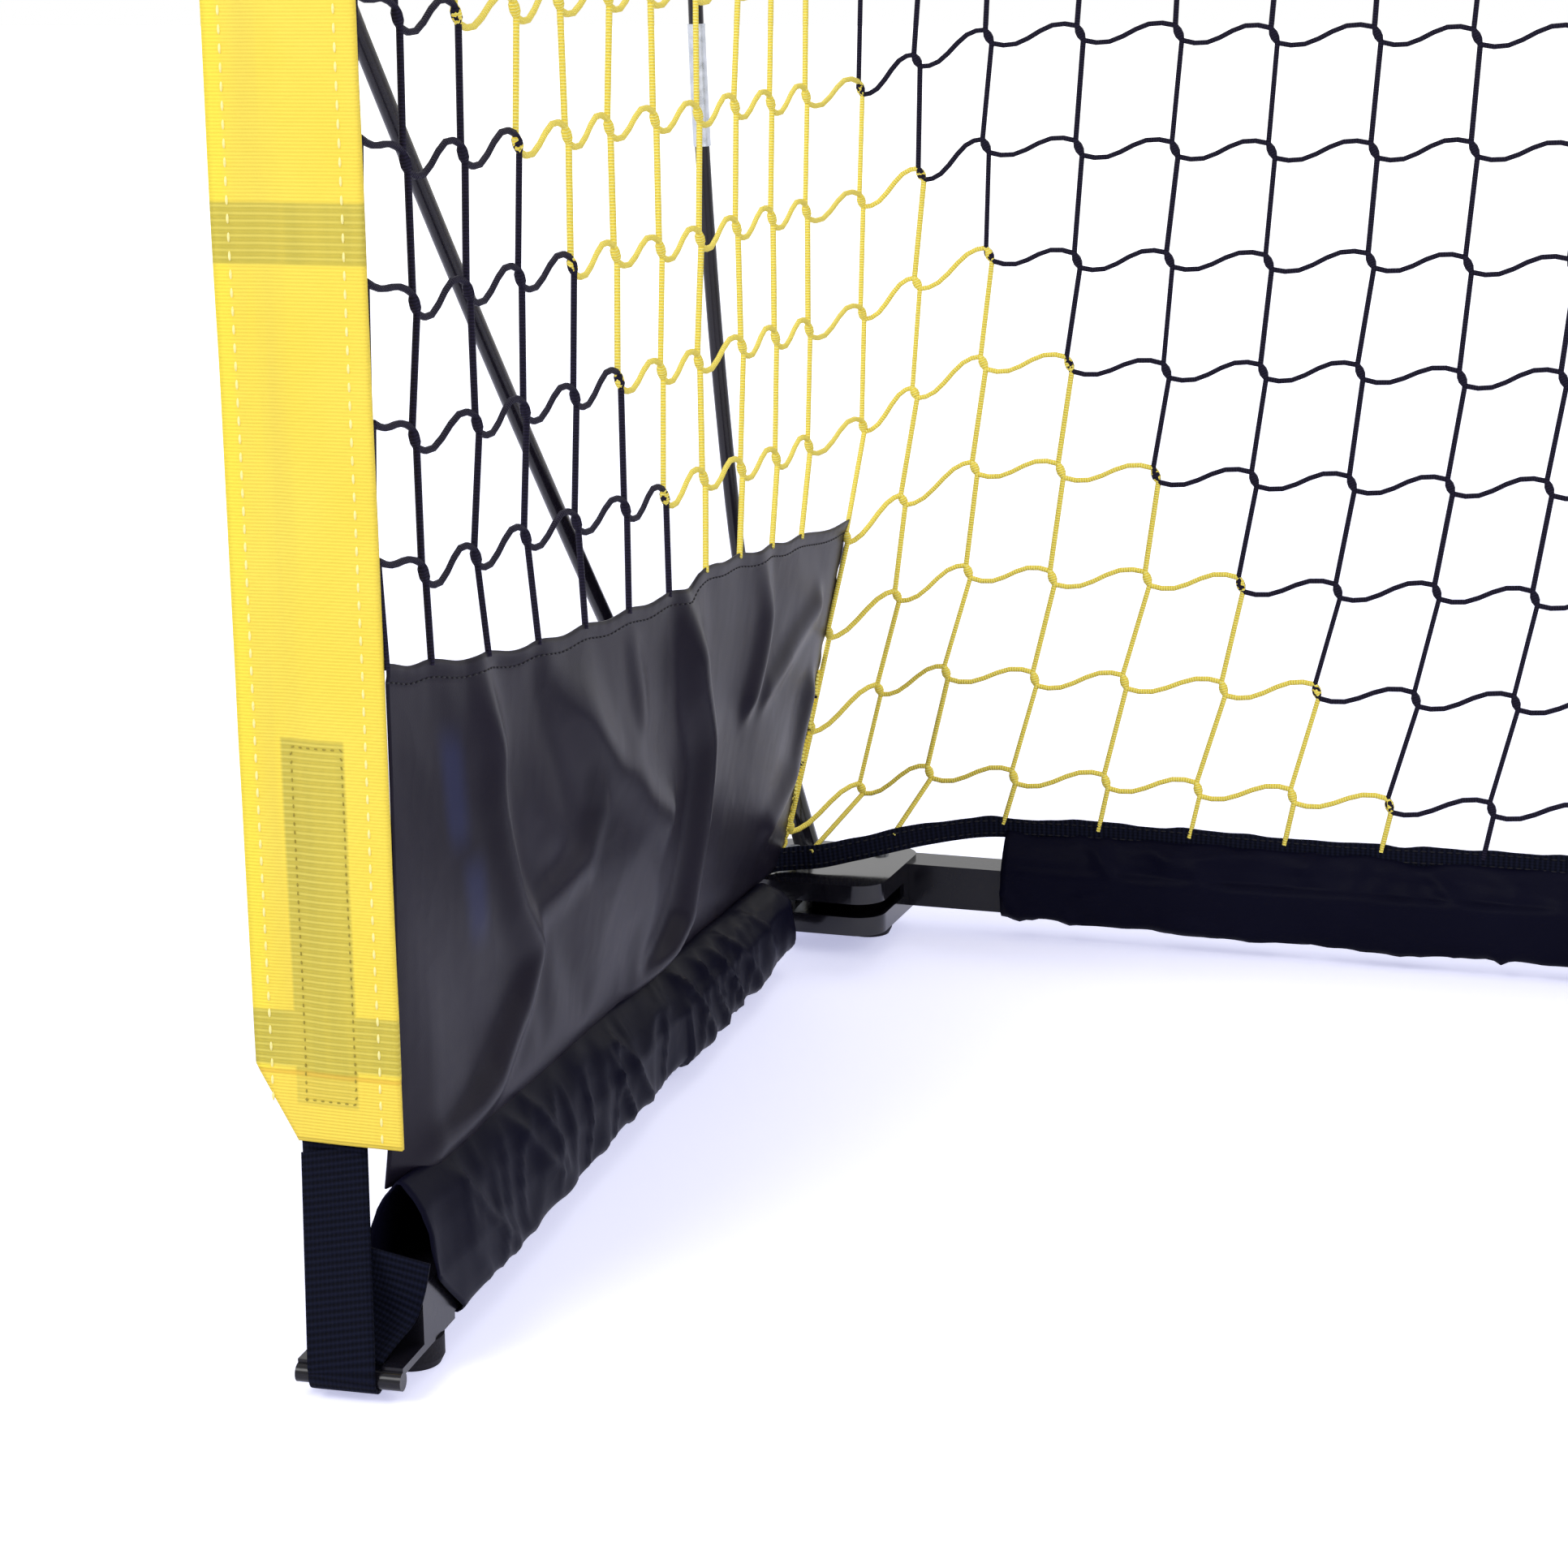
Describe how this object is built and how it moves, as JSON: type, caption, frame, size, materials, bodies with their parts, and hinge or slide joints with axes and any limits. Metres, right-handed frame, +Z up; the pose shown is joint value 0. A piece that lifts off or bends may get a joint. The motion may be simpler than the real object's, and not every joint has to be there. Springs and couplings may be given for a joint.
{
  "type": "portable football goal",
  "caption": "Portable football goal with a folding steel base, bow poles, fabric post and crossbar bands and a striped net held by strap hooks.",
  "frame": {"origin": "on the floor at the centre of the goal's box, width and depth", "axes": "+Z up; the mouth faces -Y; +X runs along the crossbar, to the right of someone looking into the mouth"},
  "size_m": [1.9212, 0.644, 1.22],
  "materials": {
    "painted_steel": "glossy black powder coat",
    "zinc_steel": "bright zinc plate",
    "rubber": "matt moulded rubber",
    "fibreglass": "black pultruded fibreglass rod",
    "band_fabric": "woven yellow polyester, doubled and hemmed",
    "webbing": "ribbed polypropylene webbing",
    "lining_cloth": "black coated nylon taffeta",
    "net_cord": "knotless twisted polyester cord, black and yellow"
  },
  "bodies": {
    "base": {"rear_tube_left": "painted_steel", "rear_tube_right": "painted_steel", "rear_coupler": "zinc_steel", "button_spring": "zinc_steel", "corner_housing_left": "painted_steel", "corner_housing_right": "painted_steel", "pivot_bolts": "zinc_steel", "pivot_nuts": "zinc_steel", "pivot_washers": "zinc_steel", "tube_rivets": "zinc_steel", "rear_feet": "rubber", "front_socket_left": "painted_steel", "front_socket_right": "painted_steel", "rear_socket_left": "painted_steel", "rear_socket_right": "painted_steel", "front_pole_lower_left": "fibreglass", "front_pole_upper_left": "fibreglass", "front_pole_lower_right": "fibreglass", "front_pole_upper_right": "fibreglass", "rear_pole_lower_left": "fibreglass", "rear_pole_middle_left": "fibreglass", "rear_pole_upper_left": "fibreglass", "rear_pole_lower_right": "fibreglass", "rear_pole_middle_right": "fibreglass", "rear_pole_upper_right": "fibreglass", "pole_ferrules_left": "zinc_steel", "pole_ferrules_right": "zinc_steel", "pole_caps_left": "rubber", "pole_caps_right": "rubber", "post_band_left": "band_fabric", "post_band_right": "band_fabric", "crossbar_band": "band_fabric", "post_webbing_left": "webbing", "post_webbing_right": "webbing", "side_net_left": "net_cord", "side_net_right": "net_cord", "back_net": "net_cord", "top_net": "net_cord", "skirt_left": "lining_cloth", "skirt_right": "lining_cloth", "rear_sleeve_left": "lining_cloth", "rear_sleeve_right": "lining_cloth", "hem_strap": "webbing", "top_hem_strap": "webbing"},
    "left_leg": {"leg_tube_left": "painted_steel", "leg_tang_left": "zinc_steel", "leg_rivets_left": "zinc_steel", "leg_hook_left": "painted_steel", "leg_foot_left": "rubber", "leg_sleeve_left": "lining_cloth", "strap_left": "webbing"},
    "right_leg": {"leg_tube_right": "painted_steel", "leg_tang_right": "zinc_steel", "leg_rivets_right": "zinc_steel", "leg_hook_right": "painted_steel", "leg_foot_right": "rubber", "leg_sleeve_right": "lining_cloth", "strap_right": "webbing"},
    "button": {"snap_button": "zinc_steel"}
  },
  "joints": [
    {"name": "left_leg_fold", "type": "hinge", "parent": "base", "child": "left_leg", "pos_m": [-0.9, 0.2787, 0.025], "axis": [0, 0, 1], "range_deg": [0, 85]},
    {"name": "right_leg_fold", "type": "hinge", "parent": "base", "child": "right_leg", "pos_m": [0.9, 0.2787, 0.025], "axis": [0, 0, -1], "range_deg": [0, 85]},
    {"name": "snap_button_press", "type": "slide", "parent": "base", "child": "button", "axis": [0, 0, -1], "range_m": [0, 0.004], "stiffness_N_per_m": 500, "springref_m": -0.003, "deforming": ["button_spring"]}
  ]
}
